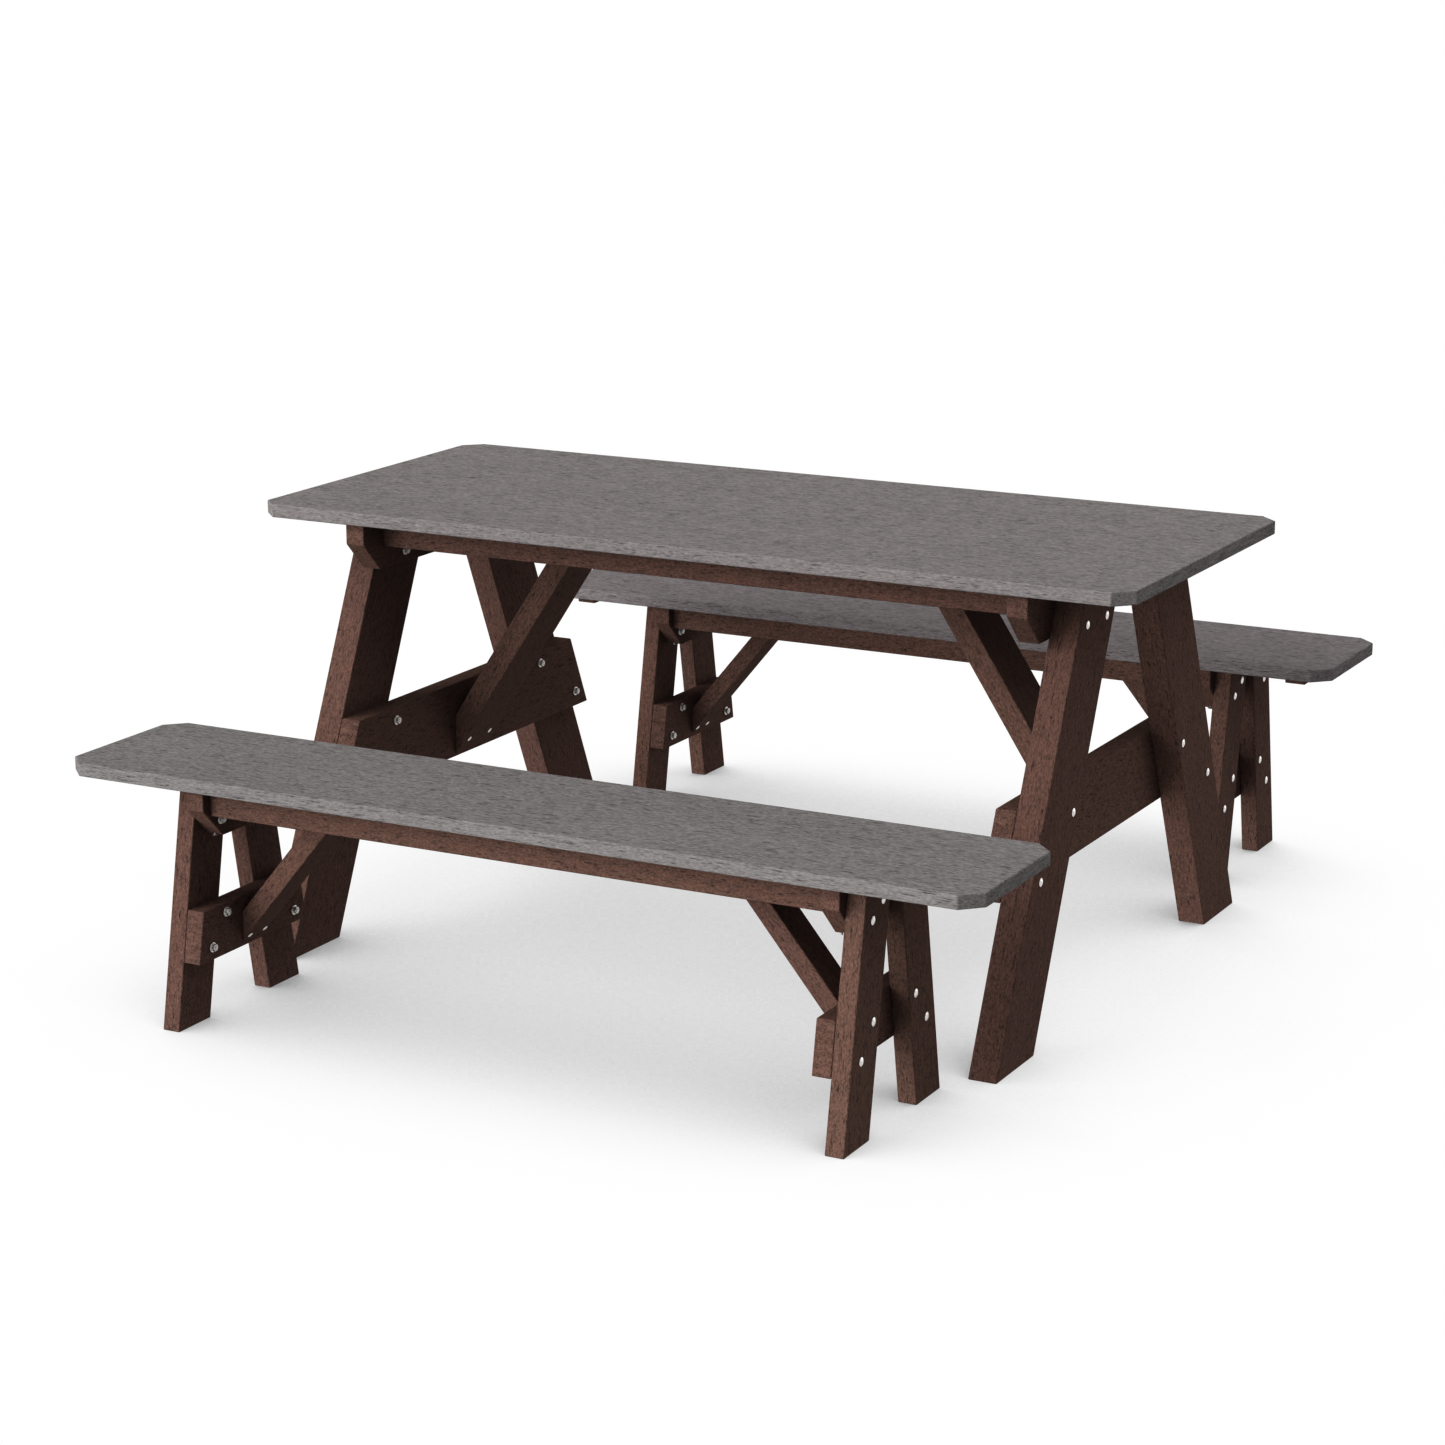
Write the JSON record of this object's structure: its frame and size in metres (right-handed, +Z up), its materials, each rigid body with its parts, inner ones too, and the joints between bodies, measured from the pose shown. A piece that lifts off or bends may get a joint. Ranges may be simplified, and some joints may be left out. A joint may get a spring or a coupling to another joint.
{
  "type": "picnic table",
  "caption": "Outdoor picnic table with loose benches: grey one-piece plastic slabs with clipped corners on bolted brown A-frame ends, with rails and diagonal braces.",
  "frame": {"origin": "on the ground, at the centre of the whole set's footprint, midway between the two benches", "axes": "+Z up, X along the table top and both seats, -Y towards the front bench"},
  "size_m": [1.637, 1.9106, 0.762],
  "materials": {
    "grey_slab": "matt grey recycled plastic, streaked lengthways, slightly rough",
    "brown_lumber": "matt dark brown recycled-plastic lumber, fine grain along each board",
    "zinc_steel": "bright zinc-plated steel"
  },
  "bodies": {
    "table": {"table_top": "grey_slab", "table_leg_front_left": "brown_lumber", "table_leg_front_right": "brown_lumber", "table_leg_rear_left": "brown_lumber", "table_leg_rear_right": "brown_lumber", "table_cleat_left": "brown_lumber", "table_stretcher_left": "brown_lumber", "table_brace_left": "brown_lumber", "table_cleat_right": "brown_lumber", "table_stretcher_right": "brown_lumber", "table_brace_right": "brown_lumber", "table_rail_front": "brown_lumber", "table_rail_rear": "brown_lumber", "table_bolt_front_left_1": "zinc_steel", "table_bolt_front_left_2": "zinc_steel", "table_bolt_front_left_3": "zinc_steel", "table_bolt_front_left_4": "zinc_steel", "table_bolt_rear_left_1": "zinc_steel", "table_bolt_rear_left_2": "zinc_steel", "table_bolt_rear_left_3": "zinc_steel", "table_bolt_rear_left_4": "zinc_steel", "table_bolt_front_right_1": "zinc_steel", "table_bolt_front_right_2": "zinc_steel", "table_bolt_front_right_3": "zinc_steel", "table_bolt_front_right_4": "zinc_steel", "table_bolt_rear_right_1": "zinc_steel", "table_bolt_rear_right_2": "zinc_steel", "table_bolt_rear_right_3": "zinc_steel", "table_bolt_rear_right_4": "zinc_steel"},
    "front_bench": {"front_bench_seat": "grey_slab", "front_bench_leg_front_left": "brown_lumber", "front_bench_leg_front_right": "brown_lumber", "front_bench_leg_rear_left": "brown_lumber", "front_bench_leg_rear_right": "brown_lumber", "front_bench_cleat_left": "brown_lumber", "front_bench_stretcher_left": "brown_lumber", "front_bench_brace_left": "brown_lumber", "front_bench_batten_left": "brown_lumber", "front_bench_cleat_right": "brown_lumber", "front_bench_stretcher_right": "brown_lumber", "front_bench_brace_right": "brown_lumber", "front_bench_batten_right": "brown_lumber", "front_bench_rail_front": "brown_lumber", "front_bench_rail_rear": "brown_lumber"},
    "rear_bench": {"rear_bench_seat": "grey_slab", "rear_bench_leg_front_left": "brown_lumber", "rear_bench_leg_front_right": "brown_lumber", "rear_bench_leg_rear_left": "brown_lumber", "rear_bench_leg_rear_right": "brown_lumber", "rear_bench_cleat_left": "brown_lumber", "rear_bench_stretcher_left": "brown_lumber", "rear_bench_brace_left": "brown_lumber", "rear_bench_batten_left": "brown_lumber", "rear_bench_cleat_right": "brown_lumber", "rear_bench_stretcher_right": "brown_lumber", "rear_bench_brace_right": "brown_lumber", "rear_bench_batten_right": "brown_lumber", "rear_bench_rail_front": "brown_lumber", "rear_bench_rail_rear": "brown_lumber"}
  },
  "joints": [
    {"name": "front_bench_slide", "type": "slide", "parent": "table", "child": "front_bench", "axis": [0, 1, 0], "range_m": [-0.35, 0.2]},
    {"name": "rear_bench_slide", "type": "slide", "parent": "table", "child": "rear_bench", "axis": [0, -1, 0], "range_m": [-0.35, 0.225]}
  ]
}
